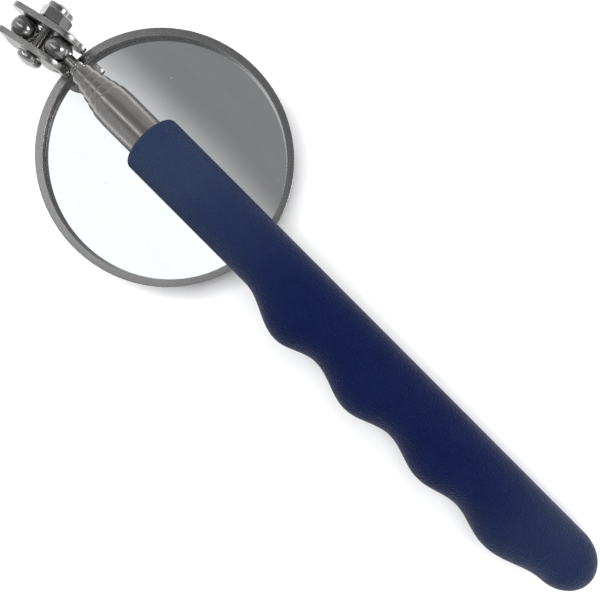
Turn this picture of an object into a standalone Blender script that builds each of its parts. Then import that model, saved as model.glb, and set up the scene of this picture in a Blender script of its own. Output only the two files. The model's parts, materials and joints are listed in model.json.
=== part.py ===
"""A telescoping inspection mirror, folded back under its handle.

Lengths are in metres and +Z is up. +X points along the handle towards the
mirror head. The origin is the centre of the bottom of the whole object's box.
"""

from math import asin, cos, degrees, pi, radians, sin, sqrt, tan

import bmesh
import bpy
from mathutils import Euler, Matrix, Vector

MM = 0.001
GAP = 0.15 * MM            # clearance between pieces that touch in the real object

# Attitude of the folded object on its bench
HANDLE_PITCH = 5.835       # degrees, the head end is raised
CLAMP_PITCH = -12.0        # relative to the handle
CLAMP_YAW = 11.0
MIRROR_PITCH = 5.3
MIRROR_YAW = 1.97
ROD_BALL = Vector((62.394, -0.008, 19.367)) * MM

# Telescoping tube
TUBE_RADII = [4.0 * MM, 3.55 * MM, 3.1 * MM, 2.65 * MM, 2.2 * MM]
TUBE_WALL = 0.25 * MM
TUBE_FRONTS = [-13.25 * MM, -11.55 * MM, -9.8 * MM, -8.05 * MM, -6.2 * MM]
TUBE_TAILS = [-134.05 * MM, -131.05 * MM, -126.45 * MM, -121.85 * MM, -117.25 * MM]
NOSE_LENGTHS = [2.6 * MM, 1.9 * MM, 1.8 * MM, 1.8 * MM, 1.2 * MM]
TAIL_NECK = 3.6 * MM
TUBE_SIDES = 24

# Grip
GRIP_FRONT = -24.15 * MM
GRIP_TAIL = -138.15 * MM
GRIP_RADIUS = 5.95 * MM
GRIP_TAIL_ROUND = 6.2 * MM
GRIP_BORE_END = -135.05 * MM
LOBE_START = -54.95 * MM
# Distance along the handle and reach beyond the axis of each crest and hollow
LOBE_POINTS = [
    (-66.15, 9.4), (-74.55, 7.05), (-84.35, 9.4), (-93.75, 6.9),
    (-102.95, 8.9), (-111.35, 7.25), (-120.35, 9.0),
]
LOBE_END = -132.45 * MM

# Ball joints and their clamp
BALL_RADIUS = 2.5 * MM
BALL_SPACING = 8.65 * MM
NECK_RADIUS = 1.25 * MM
PLATE_HALF_GAP = 2.1 * MM
PLATE_THICKNESS = 1.2 * MM
PLATE_END_RADIUS = 3.75 * MM
SEAT_RADIUS = BALL_RADIUS + 0.1 * MM
BULGE_RADIUS = 4.0 * MM
SCREW_RADIUS = 1.22 * MM
SCREW_PITCH = 0.45 * MM
HEAD_RADIUS = 2.25 * MM
HEAD_HEIGHT = 1.9 * MM
NUT_CLEARANCE = 0.35 * MM    # lets the nut turn clear of the pressed seats
NUT_FLATS = 5.0 * MM
NUT_HEX_HEIGHT = 2.1 * MM
NUT_HEIGHT = 3.4 * MM

# Mirror, measured down from the top of its rim
MIRROR_RADIUS = 25.4 * MM
MIRROR_CENTRE = Vector((-25.95, 0.0, -7.4)) * MM     # from the rod ball, along the handle's axes
LIP_WIDTH = 1.5 * MM
RECESS = 1.6 * MM
GLASS_THICKNESS = 1.5 * MM
PAD_THICKNESS = 0.3 * MM
SHEET = 0.4 * MM
BEZEL_WALL = 0.45 * MM
BEZEL_DEPTH = 4.6 * MM
HEM_WIDTH = 2.0 * MM
PAN_RADIUS = 21.6 * MM
MIRROR_SIDES = 64

# Bracket and its stud behind the mirror
STEM_ANGLE = 50.0          # between the stem and the mirror's plane
TANG_THICKNESS = 1.0 * MM
TANG_WIDTH = 7.0 * MM
TANG_START = 7.0 * MM
BARREL_RADIUS = 1.85 * MM
SHANK_RADIUS = 1.15 * MM
RIVET_PLACES = [11.0 * MM, 18.0 * MM]
RIVET_RADIUS = 0.75 * MM


def clear_scene():
    for old in list(bpy.data.objects):
        bpy.data.objects.remove(old, do_unlink=True)


def make_material(name, colour, roughness, metallic):
    material = bpy.data.materials.new(name)
    material.use_nodes = True
    shader = material.node_tree.nodes["Principled BSDF"]
    shader.inputs["Base Color"].default_value = (*colour, 1.0)
    shader.inputs["Roughness"].default_value = roughness
    shader.inputs["Metallic"].default_value = metallic
    return material


FINISHES = {
    "vinyl": ((0.010, 0.022, 0.095), 0.62, 0.0),
    "satin_steel": ((0.46, 0.45, 0.43), 0.30, 1.0),
    "polished_steel": ((0.62, 0.62, 0.62), 0.12, 1.0),
    "mirror": ((0.90, 0.92, 0.92), 0.02, 1.0),
    "bronze": ((0.55, 0.36, 0.16), 0.30, 1.0),
    "nylon": ((0.72, 0.72, 0.68), 0.50, 0.0),
    "foam": ((0.05, 0.05, 0.05), 0.90, 0.0),
}


def frame_at(name, location, rotation=(0.0, 0.0, 0.0), parent=None):
    """An empty that carries the pieces built around one joint or one assembly."""
    empty = bpy.data.objects.new(name, None)
    empty.location = location
    empty.rotation_euler = Euler([radians(angle) for angle in rotation], "XYZ")
    empty.parent = parent
    bpy.context.collection.objects.link(empty)
    return empty


def finish_piece(name, mesh_data, finish, parent, smooth_angle=35.0):
    mesh = bpy.data.meshes.new(name)
    bmesh.ops.recalc_face_normals(mesh_data, faces=mesh_data.faces[:])
    mesh_data.to_mesh(mesh)
    mesh_data.free()
    mesh.shade_smooth()
    mesh.set_sharp_from_angle(angle=radians(smooth_angle))
    mesh.materials.append(make_material(name, *FINISHES[finish]))
    piece = bpy.data.objects.new(name, mesh)
    piece.parent = parent
    bpy.context.collection.objects.link(piece)
    return piece


def turned(profile, sides):
    """Turn a closed outline of (radius, height) points round the local Z axis."""
    solid = bmesh.new()
    verts = [solid.verts.new((radius, 0.0, height)) for radius, height in profile]
    edges = [
        solid.edges.new((verts[i], verts[(i + 1) % len(verts)]))
        for i in range(len(verts))
        if profile[i][0] > 0.0 or profile[(i + 1) % len(profile)][0] > 0.0
    ]
    bmesh.ops.spin(
        solid, geom=verts + edges, axis=(0.0, 0.0, 1.0), cent=(0.0, 0.0, 0.0),
        angle=2.0 * pi, steps=sides, use_merge=True,
    )
    bmesh.ops.remove_doubles(solid, verts=solid.verts[:], dist=0.002 * MM)
    return solid


def arc(centre, radius, start, end, steps):
    """Points (radius, height) round a centre, from one angle in degrees to another."""
    return [
        (
            centre[0] + radius * cos(radians(start + (end - start) * i / steps)),
            centre[1] + radius * sin(radians(start + (end - start) * i / steps)),
        )
        for i in range(steps + 1)
    ]


def along_x(solid):
    """Lay a turned piece down so that its axis is local X, height running towards +X."""
    bmesh.ops.rotate(solid, verts=solid.verts[:], matrix=Matrix.Rotation(pi / 2, 3, "Y"))
    return solid


def along_y(solid):
    """Lay a turned piece down so that its axis is local Y, height running towards +Y."""
    bmesh.ops.rotate(solid, verts=solid.verts[:], matrix=Matrix.Rotation(-pi / 2, 3, "X"))
    return solid


def cutter(name, mesh_data, parent):
    """A hidden tool body for a Boolean."""
    mesh = bpy.data.meshes.new(name)
    bmesh.ops.recalc_face_normals(mesh_data, faces=mesh_data.faces[:])
    mesh_data.to_mesh(mesh)
    mesh_data.free()
    tool = bpy.data.objects.new(name, mesh)
    tool.parent = parent
    tool.hide_render = True
    tool.display_type = "WIRE"
    bpy.context.collection.objects.link(tool)
    return tool


def boolean(piece, tool, operation):
    modifier = piece.modifiers.new(operation.lower(), "BOOLEAN")
    modifier.operation = operation
    modifier.object = tool


# ---------------------------------------------------------------- telescoping tube


def tube_outline(radius, front, tail, nose_length, radius_ahead, necked):
    """Section of one tube: a nose that tapers onto the next tube, and a necked tail."""
    inner = radius - TUBE_WALL
    nose_bore = radius_ahead + 0.1 * MM
    nose_radius = nose_bore + 0.1 * MM
    outline = [
        (nose_bore, front),
        (nose_radius, front),
        (nose_radius + 0.6 * (radius - nose_radius), front - 0.45 * nose_length),
        (radius, front - nose_length),
    ]
    if necked:
        neck = radius - 0.2 * MM
        outline += [
            (radius, tail + TAIL_NECK),
            (neck, tail + TAIL_NECK - 0.25 * MM),
            (neck, tail),
            (neck - TUBE_WALL, tail),
            (neck - TUBE_WALL, tail + TAIL_NECK),
            (inner, tail + TAIL_NECK + 0.25 * MM),
        ]
    else:
        outline += [(radius, tail), (inner, tail)]
    outline += [(inner, front - nose_length - 0.1 * MM), (nose_bore, front - 0.5 * nose_length)]
    return outline


def make_tubes(handle):
    for index, radius in enumerate(TUBE_RADII):
        if index + 1 < len(TUBE_RADII):
            ahead = TUBE_RADII[index + 1]
        else:
            ahead = radius - 0.3 * MM
        name = "outer_tube" if index == 0 else f"tube_{index + 1}"
        outline = tube_outline(
            radius, TUBE_FRONTS[index], TUBE_TAILS[index], NOSE_LENGTHS[index], ahead,
            necked=index > 0,
        )
        finish_piece(name, along_x(turned(outline, TUBE_SIDES)), "satin_steel", handle)


def make_friction_spring(number, radius, tail, handle):
    """A split bronze band round a moving tube's necked tail, bowed to press outwards."""
    seat = radius - 0.12 * MM
    crown = radius + 0.1 * MM
    start = tail + 0.4 * MM
    end = tail + TAIL_NECK - 0.6 * MM
    middle = (start + end) / 2
    outline = [
        (seat, start), (radius, start), (crown, middle - 0.5 * MM),
        (crown, middle + 0.5 * MM), (radius, end), (seat, end),
    ]
    opening = radians(36)
    solid = bmesh.new()
    verts = [solid.verts.new((r, 0.0, h)) for r, h in outline]
    section = solid.faces.new(verts)
    bmesh.ops.rotate(solid, verts=verts, matrix=Matrix.Rotation(opening / 2, 3, "Z"))
    swept = bmesh.ops.extrude_face_region(solid, geom=[section])
    ring = [part for part in swept["geom"] if isinstance(part, bmesh.types.BMVert)]
    steps = 18
    step = Matrix.Rotation((2.0 * pi - opening) / steps, 3, "Z")
    bmesh.ops.rotate(solid, verts=ring, matrix=step)
    for _ in range(steps - 1):
        faces = [part for part in swept["geom"] if isinstance(part, bmesh.types.BMFace)]
        swept = bmesh.ops.extrude_face_region(solid, geom=faces)
        bmesh.ops.delete(solid, geom=faces, context="FACES_ONLY")
        ring = [part for part in swept["geom"] if isinstance(part, bmesh.types.BMVert)]
        bmesh.ops.rotate(solid, verts=ring, matrix=step)
    finish_piece(f"friction_spring_{number}", along_x(solid), "bronze", handle)


def make_end_plug(handle):
    """The plug pressed into the tail of the outer tube."""
    bore = TUBE_RADII[0] - TUBE_WALL - GAP
    tail = TUBE_TAILS[0]
    outline = [
        (0.0, tail + 2.4 * MM), (bore - 0.2 * MM, tail + 2.4 * MM), (bore, tail + 2.0 * MM),
        (bore, tail + 0.1 * MM), (0.0, tail + 0.1 * MM),
    ]
    finish_piece("tube_end_plug", along_x(turned(outline, 24)), "nylon", handle)


# ---------------------------------------------------------------- grip


def grip_reach(x):
    """How far the grip reaches from its axis on the finger side."""
    points = [(LOBE_START, GRIP_RADIUS)]
    points += [(place * MM, reach * MM) for place, reach in LOBE_POINTS]
    points += [(LOBE_END, GRIP_RADIUS)]
    if x >= points[0][0] or x <= points[-1][0]:
        return GRIP_RADIUS
    for (x0, r0), (x1, r1) in zip(points, points[1:]):
        if x1 <= x <= x0:
            blend = (1.0 - cos(pi * (x0 - x) / (x0 - x1))) / 2.0
            return r0 + (r1 - r0) * blend
    return GRIP_RADIUS


def end_factor(x):
    """Scale of the section where the grip's ends are rounded off."""
    front_round = 1.4 * MM
    tail_round = GRIP_TAIL_ROUND
    if x > GRIP_FRONT - front_round:
        depth = (x - (GRIP_FRONT - front_round)) / front_round
        return 1.0 - (front_round / GRIP_RADIUS) * (1.0 - sqrt(max(0.0, 1.0 - depth * depth)))
    if x < GRIP_TAIL + tail_round:
        depth = ((GRIP_TAIL + tail_round) - x) / tail_round
        return sqrt(max(0.02, 1.0 - depth * depth))
    return 1.0


def grip_section(x, sides):
    """One ring of the grip: round, drawn out towards +Y where the finger lobes are."""
    reach = grip_reach(x)
    scale = end_factor(x)
    ring = []
    for i in range(sides):
        angle = 2.0 * pi * i / sides
        side = sin(angle)
        radius_y = reach if side > 0.0 else GRIP_RADIUS
        swell = 1.0 + 0.10 * (reach / GRIP_RADIUS - 1.0)
        ring.append(Vector((x, radius_y * side * scale, GRIP_RADIUS * swell * cos(angle) * scale)))
    return ring


def make_grip(handle):
    sides = 20
    stations = [GRIP_FRONT - 1.4 * MM * (1.0 - cos(radians(a))) for a in (0, 35, 60, 90)]
    lobe_steps = 28
    stations += [-40.0 * MM]
    stations += [
        LOBE_START + (LOBE_END - LOBE_START) * i / lobe_steps for i in range(lobe_steps + 1)
    ]
    stations += [GRIP_TAIL + GRIP_TAIL_ROUND * (1.0 - sin(radians(a))) for a in (0, 22, 42, 60, 76)]
    stations += [GRIP_TAIL]
    solid = bmesh.new()
    rings = [
        [solid.verts.new(point) for point in grip_section(x, sides)] for x in stations
    ]
    for near, far in zip(rings, rings[1:]):
        for i in range(sides):
            j = (i + 1) % sides
            solid.faces.new((near[i], near[j], far[j], far[i]))
    solid.faces.new(rings[-1])
    bore = TUBE_RADII[0] + GAP
    mouth = [
        solid.verts.new((GRIP_FRONT, bore * sin(2 * pi * i / sides), bore * cos(2 * pi * i / sides)))
        for i in range(sides)
    ]
    bottom = [solid.verts.new((GRIP_BORE_END, v.co.y, v.co.z)) for v in mouth]
    for i in range(sides):
        j = (i + 1) % sides
        solid.faces.new((rings[0][i], mouth[i], mouth[j], rings[0][j]))
        solid.faces.new((mouth[i], bottom[i], bottom[j], mouth[j]))
    solid.faces.new(bottom)
    return finish_piece("grip", solid, "vinyl", handle, smooth_angle=50.0)


# ---------------------------------------------------------------- ball studs


def make_rod_stud(handle):
    """The stud that carries the rod ball: shank in tube 5, ringed collar and thin neck."""
    socket_end = BALL_RADIUS + GAP
    collar = 1.5 * MM
    groove = collar - 0.15 * MM
    shank = TUBE_RADII[-1] - TUBE_WALL - 0.3 * MM
    face = TUBE_FRONTS[-1]
    outline = [
        (0.0, -socket_end), (NECK_RADIUS, -socket_end - 0.3 * MM), (NECK_RADIUS, -4.5 * MM),
        (collar - 0.1 * MM, -4.6 * MM), (collar, -4.7 * MM),
    ]
    for ring in (4.9 * MM, 5.45 * MM):
        outline += [(collar, -ring), (groove, -ring - 0.08 * MM)]
        outline += [(groove, -ring - 0.2 * MM), (collar, -ring - 0.28 * MM)]
    outline += [(collar, face + 0.1 * MM), (shank, face), (shank, face - 7.0 * MM)]
    outline.append((0.0, face - 7.0 * MM))
    finish_piece("rod_stud", along_x(turned(outline, 24)), "polished_steel", handle)


def make_ball(name, parent, stem_direction):
    """A polished ball with a small flat where its stud meets it."""
    flat = 0.55 * MM
    flat_angle = 90.0 - degrees(asin(flat / BALL_RADIUS))
    outline = arc((0.0, 0.0), BALL_RADIUS, flat_angle, -90.0, 9)
    outline[-1] = (0.0, -BALL_RADIUS)
    outline = [(0.0, outline[0][1])] + outline
    solid = turned(outline, 20)
    turn = Vector((0.0, 0.0, 1.0)).rotation_difference(stem_direction).to_matrix()
    bmesh.ops.rotate(solid, verts=solid.verts[:], matrix=turn)
    finish_piece(name, solid, "polished_steel", parent)


# ---------------------------------------------------------------- clamp


def plate_outline(steps):
    """Stadium outline in the clamp's X and Z, round both ball centres."""
    points = []
    for i in range(steps + 1):
        angle = -pi / 2 + pi * i / steps
        points.append((BALL_SPACING + PLATE_END_RADIUS * cos(angle), PLATE_END_RADIUS * sin(angle)))
    for i in range(steps + 1):
        angle = pi / 2 + pi * i / steps
        points.append((PLATE_END_RADIUS * cos(angle), PLATE_END_RADIUS * sin(angle)))
    return points


def make_clamp_plate(name, side, clamp):
    """A stadium plate with a screw hole and a pressed ball seat at each end."""
    solid = bmesh.new()
    inner = side * PLATE_HALF_GAP
    outline = [solid.verts.new((x, inner, z)) for x, z in plate_outline(14)]
    face = solid.faces.new(outline)
    swept = bmesh.ops.extrude_face_region(solid, geom=[face])
    moved = [part for part in swept["geom"] if isinstance(part, bmesh.types.BMVert)]
    bmesh.ops.translate(solid, verts=moved, vec=(0.0, side * PLATE_THICKNESS, 0.0))
    plate = finish_piece(name, solid, "satin_steel", clamp)
    for ball_x in (0.0, BALL_SPACING):
        boolean(plate, bulge_tool(f"{name}_bulge_{ball_x:.4f}", side, ball_x, clamp), "UNION")
    for ball_x in (0.0, BALL_SPACING):
        seat = bmesh.new()
        bmesh.ops.create_uvsphere(
            seat, u_segments=20, v_segments=10, radius=SEAT_RADIUS,
            matrix=Matrix.Translation((ball_x, 0.0, 0.0)) @ Matrix.Rotation(pi / 2, 4, "X"),
        )
        boolean(plate, cutter(f"{name}_seat_{ball_x:.4f}", seat, clamp), "DIFFERENCE")
    hole = bmesh.new()
    bmesh.ops.create_cone(
        hole, cap_ends=True, segments=24, radius1=SCREW_RADIUS + GAP, radius2=SCREW_RADIUS + GAP,
        depth=20.0 * MM,
        matrix=Matrix.Translation((BALL_SPACING / 2, 0.0, 0.0)) @ Matrix.Rotation(pi / 2, 4, "X"),
    )
    boolean(plate, cutter(f"{name}_hole", hole, clamp), "DIFFERENCE")
    return plate


def bulge_tool(name, side, ball_x, clamp):
    """The outward bulge of a pressed seat: a cap that starts inside the plate."""
    base = PLATE_HALF_GAP + 0.5 * PLATE_THICKNESS
    start = degrees(asin(base / BULGE_RADIUS))
    outline = [(0.0, base)] + arc((0.0, 0.0), BULGE_RADIUS, start, 90.0, 6)[:-1]
    outline.append((0.0, BULGE_RADIUS))
    solid = along_y(turned(outline, 20))
    if side < 0:
        bmesh.ops.rotate(solid, verts=solid.verts[:], matrix=Matrix.Rotation(pi, 3, "Z"))
    bmesh.ops.translate(solid, verts=solid.verts[:], vec=(ball_x, 0.0, 0.0))
    return cutter(name, solid, clamp)


def thread_ridges(root, start, count):
    """Ring ridges that stand for the thread, from a height upwards."""
    points = []
    for turn in range(count):
        low = start + turn * SCREW_PITCH
        points += [
            (root, low), (SCREW_RADIUS, low + 0.42 * SCREW_PITCH),
            (SCREW_RADIUS, low + 0.58 * SCREW_PITCH),
        ]
    points.append((root, start + count * SCREW_PITCH - 0.02 * MM))
    return points


def make_clamp_screw(clamp):
    """Pan-head machine screw, its head on the finger side, with a cross recess."""
    under_head = PLATE_HALF_GAP + PLATE_THICKNESS + 2 * GAP
    top = under_head + HEAD_HEIGHT
    tip = -(PLATE_HALF_GAP + PLATE_THICKNESS + NUT_CLEARANCE + NUT_HEIGHT + 0.3 * MM)
    root = SCREW_RADIUS - 0.25 * MM
    outline = [(0.0, tip), (root, tip), (SCREW_RADIUS, tip + 0.25 * MM)]
    outline.append((SCREW_RADIUS, -PLATE_HALF_GAP - 0.2 * SCREW_PITCH))
    outline += thread_ridges(root, -PLATE_HALF_GAP, 9)
    outline += [(SCREW_RADIUS, PLATE_HALF_GAP + 0.2 * SCREW_PITCH), (SCREW_RADIUS, under_head)]
    rim = 0.45 * HEAD_HEIGHT
    outline += [(HEAD_RADIUS, under_head), (HEAD_RADIUS, under_head + rim)]
    outline += [
        (HEAD_RADIUS * cos(radians(a)), under_head + rim + (HEAD_HEIGHT - rim) * sin(radians(a)))
        for a in (25, 50)
    ]
    outline += [(0.35 * HEAD_RADIUS, top), (0.0, top)]
    screw = finish_piece(
        "clamp_screw", move(along_y(turned(outline, 20)), BALL_SPACING / 2), "polished_steel", clamp
    )
    slots = cross_tool(top)
    boolean(screw, cutter("clamp_screw_recess", slots, clamp), "DIFFERENCE")
    return screw


def cross_tool(top):
    """Cross recess as a single star-shaped prism, open at the head's top."""
    arm = 1.05 * MM
    half = 0.24 * MM
    star = bmesh.new()
    corners = []
    for i in range(4):
        turn = Matrix.Rotation(pi / 2 * i, 2)
        for point in ((arm, -half), (arm, half), (half, half)):
            corners.append(turn @ Vector(point))
    verts = [
        star.verts.new((BALL_SPACING / 2 + point.x, top - 0.8 * MM, point.y)) for point in corners
    ]
    face = star.faces.new(verts)
    swept = bmesh.ops.extrude_face_region(star, geom=[face])
    moved = [part for part in swept["geom"] if isinstance(part, bmesh.types.BMVert)]
    bmesh.ops.translate(star, verts=moved, vec=(0.0, 2.0 * MM, 0.0))
    return star


def move(solid, along):
    """Shift a piece along the clamp from the rod ball's centre."""
    bmesh.ops.translate(solid, verts=solid.verts[:], vec=(along, 0.0, 0.0))
    return solid


def make_lock_nut(nut_frame):
    """Hexagon nut with a turned-in collar that holds a nylon ring."""
    face = PLATE_HALF_GAP + PLATE_THICKNESS + NUT_CLEARANCE
    bore = SCREW_RADIUS + GAP
    collar = NUT_FLATS / 2 - 0.1 * MM
    corner = NUT_FLATS / 2 / cos(pi / 6)
    ring_bottom = face + NUT_HEX_HEIGHT
    top = face + NUT_HEIGHT
    shoulder = (corner - NUT_FLATS / 2) * tan(radians(30.0))
    body = [
        (bore, face), (NUT_FLATS / 2, face), (corner + 0.2 * MM, face + shoulder + 0.1 * MM),
        (corner + 0.2 * MM, ring_bottom - shoulder), (NUT_FLATS / 2, ring_bottom + 0.1 * MM),
        (collar, ring_bottom + 0.2 * MM), (collar, top - 0.5 * MM), (collar - 0.4 * MM, top),
        (bore + 0.35 * MM, top), (bore + 0.35 * MM, top - 0.3 * MM),
        (collar - 0.4 * MM, top - 0.3 * MM), (collar - 0.4 * MM, ring_bottom), (bore, ring_bottom),
    ]
    nut = finish_piece(
        "lock_nut", point_down_y(turned(body, 24)), "polished_steel", nut_frame, smooth_angle=30.0
    )
    hexagon = bmesh.new()
    bmesh.ops.create_cone(
        hexagon, cap_ends=True, segments=6, radius1=corner, radius2=corner, depth=12.0 * MM,
        matrix=Matrix.Translation((0.0, -(face + top) / 2, 0.0)) @ Matrix.Rotation(pi / 2, 4, "X"),
    )
    boolean(nut, cutter("lock_nut_flats", hexagon, nut_frame), "INTERSECT")
    ring = [
        (bore, ring_bottom + GAP), (collar - 0.4 * MM - GAP, ring_bottom + GAP),
        (collar - 0.4 * MM - GAP, top - 0.3 * MM - GAP), (bore, top - 0.3 * MM - GAP),
    ]
    finish_piece("nylon_ring", point_down_y(turned(ring, 24)), "nylon", nut_frame)


def point_down_y(solid):
    """Lay a turned piece down with its height running towards -Y."""
    bmesh.ops.rotate(solid, verts=solid.verts[:], matrix=Matrix.Rotation(pi / 2, 3, "X"))
    return solid


# ---------------------------------------------------------------- mirror


def make_mirror(mirror):
    """Bezel, glass, foam pad and back, about the centre of the rim's top."""
    outer = MIRROR_RADIUS
    lip_inner = outer - LIP_WIDTH
    skirt_inner = outer - BEZEL_WALL
    lip_bottom = -(RECESS - GAP)
    bezel = [
        (lip_inner, lip_bottom), (lip_inner, -0.3 * MM), (lip_inner + 0.12 * MM, -0.08 * MM),
        (lip_inner + 0.3 * MM, 0.0), (outer - 0.3 * MM, 0.0), (outer - 0.09 * MM, -0.09 * MM),
        (outer, -0.3 * MM), (outer, -BEZEL_DEPTH + 0.25 * MM), (outer - 0.25 * MM, -BEZEL_DEPTH),
        (outer - HEM_WIDTH, -BEZEL_DEPTH), (outer - HEM_WIDTH, -BEZEL_DEPTH + SHEET),
        (skirt_inner, -BEZEL_DEPTH + SHEET), (skirt_inner, lip_bottom),
    ]
    finish_piece("mirror_bezel", turned(bezel, MIRROR_SIDES), "satin_steel", mirror)
    glass_radius = skirt_inner - GAP
    glass_top = -RECESS
    glass_bottom = glass_top - GLASS_THICKNESS
    ground_edge = [
        (0.0, glass_top), (lip_inner - 0.1 * MM, glass_top), (glass_radius, glass_top - 0.12 * MM),
        (glass_radius, glass_bottom), (0.0, glass_bottom),
    ]
    finish_piece("mirror_glass", turned(ground_edge, MIRROR_SIDES // 2), "mirror", mirror)
    pad_top = glass_bottom - GAP
    pad_bottom = pad_top - PAD_THICKNESS
    finish_piece("foam_pad", disc(PAN_RADIUS + 1.5 * MM, pad_top, pad_bottom), "foam", mirror)
    flange_top = pad_bottom - GAP
    pan_top = flange_top - 0.85 * MM
    back = [
        (0.0, pan_top), (PAN_RADIUS - 0.9 * MM, pan_top), (PAN_RADIUS, flange_top),
        (glass_radius, flange_top), (glass_radius, flange_top - SHEET),
        (PAN_RADIUS + 0.2 * MM, flange_top - SHEET), (PAN_RADIUS - 0.7 * MM, pan_top - SHEET),
        (0.0, pan_top - SHEET),
    ]
    shell = finish_piece("mirror_back", turned(back, MIRROR_SIDES // 2), "satin_steel", mirror)
    for number, place in enumerate(RIVET_PLACES, start=1):
        boolean(shell, rivet_hole(f"back_hole_{number}", place, mirror), "DIFFERENCE")
    return pan_top


def disc(radius, top, bottom):
    edge = 0.1 * MM
    outline = [
        (0.0, top), (radius - edge, top), (radius, top - edge), (radius, bottom), (0.0, bottom)
    ]
    return turned(outline, MIRROR_SIDES // 2)


def rivet_hole(name, place, mirror):
    hole = bmesh.new()
    bmesh.ops.create_cone(
        hole, cap_ends=True, segments=20, radius1=RIVET_RADIUS + GAP, radius2=RIVET_RADIUS + GAP,
        depth=6.0 * MM, matrix=Matrix.Translation((place, 0.0, -7.0 * MM)),
    )
    return cutter(name, hole, mirror)


def make_bracket(mirror, ball_place, pan_top):
    """Strip behind the mirror that turns up along the stem and curls round the stud."""
    tang_top = pan_top - SHEET - GAP
    tang_bottom = tang_top - TANG_THICKNESS
    slope = radians(STEM_ANGLE)
    along = Vector((-cos(slope), 0.0, -sin(slope)))
    across = Vector((sin(slope), 0.0, -cos(slope)))
    outer_face = ball_place + across * BARREL_RADIUS
    reach = (outer_face.z - tang_bottom) / sin(slope)
    corner = outer_face + along * reach
    inner_corner = corner - across * TANG_THICKNESS
    inner_corner += along * ((inner_corner.z - tang_top) / sin(slope))
    top_outer = ball_place + along * 5.6 * MM + across * BARREL_RADIUS
    top_inner = top_outer - across * TANG_THICKNESS
    outline = [
        Vector((TANG_START, 0.0, tang_top)), inner_corner, top_inner, top_outer, corner,
        Vector((TANG_START, 0.0, tang_bottom)),
    ]
    solid = bmesh.new()
    half = TANG_WIDTH / 2
    near = [solid.verts.new((p.x, -strip_half(p.x, ball_place, half), p.z)) for p in outline]
    far = [solid.verts.new((p.x, strip_half(p.x, ball_place, half), p.z)) for p in outline]
    solid.faces.new(near)
    solid.faces.new(list(reversed(far)))
    for i in range(len(outline)):
        j = (i + 1) % len(outline)
        solid.faces.new((near[i], far[i], far[j], near[j]))
    bracket = finish_piece("mirror_bracket", solid, "satin_steel", mirror, smooth_angle=30.0)
    barrel = stem_cylinder(ball_place, along, BARREL_RADIUS - 0.02 * MM, 5.5 * MM, 9.4 * MM)
    boolean(bracket, cutter("bracket_barrel", barrel, mirror), "UNION")
    bore = stem_cylinder(ball_place, along, SHANK_RADIUS + GAP, 4.0 * MM, 9.0 * MM)
    boolean(bracket, cutter("bracket_bore", bore, mirror), "DIFFERENCE")
    for number, place in enumerate(RIVET_PLACES, start=1):
        boolean(bracket, rivet_hole(f"tang_hole_{number}", place, mirror), "DIFFERENCE")
    return tang_bottom


def strip_half(x, ball_place, half):
    """Half the strip's width: full under the mirror, narrower at the curled end."""
    return half if x < MIRROR_RADIUS + 1.0 * MM else half * 0.52


def stem_cylinder(start, along, radius, near, far):
    """A cylinder on the stem's axis, between two distances from the ball's centre."""
    solid = bmesh.new()
    turn = Vector((0.0, 0.0, 1.0)).rotation_difference(along).to_matrix().to_4x4()
    bmesh.ops.create_cone(
        solid, cap_ends=True, segments=24, radius1=radius, radius2=radius, depth=far - near,
        matrix=Matrix.Translation(start + along * (near + far) / 2) @ turn,
    )
    return solid


def make_rivets(mirror, pan_top, tang_bottom):
    head_radius = 1.6 * MM
    head_top = tang_bottom - GAP
    inside = pan_top + GAP
    for number, place in enumerate(RIVET_PLACES, start=1):
        outline = [
            (0.0, inside + 0.4 * MM), (1.2 * MM, inside + 0.4 * MM), (1.3 * MM, inside),
            (RIVET_RADIUS, inside), (RIVET_RADIUS, head_top), (head_radius, head_top),
            (0.85 * head_radius, head_top - 0.4 * MM), (0.45 * head_radius, head_top - 0.6 * MM),
            (0.0, head_top - 0.65 * MM),
        ]
        finish_piece(
            f"rivet_{number}", move(turned(outline, 16), place), "satin_steel", mirror
        )


def make_mirror_stud(stem):
    """The stud in the bracket's curl, thin where it passes between the clamp plates."""
    start = BALL_RADIUS + GAP
    collar = 1.55 * MM
    outline = [
        (0.0, start), (NECK_RADIUS, start + 0.3 * MM), (NECK_RADIUS, 4.7 * MM),
        (collar, 4.8 * MM), (collar, 5.3 * MM), (SHANK_RADIUS, 5.35 * MM),
        (SHANK_RADIUS, 8.8 * MM), (0.0, 8.8 * MM),
    ]
    finish_piece("mirror_stud", turned(outline, 24), "polished_steel", stem)


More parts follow.
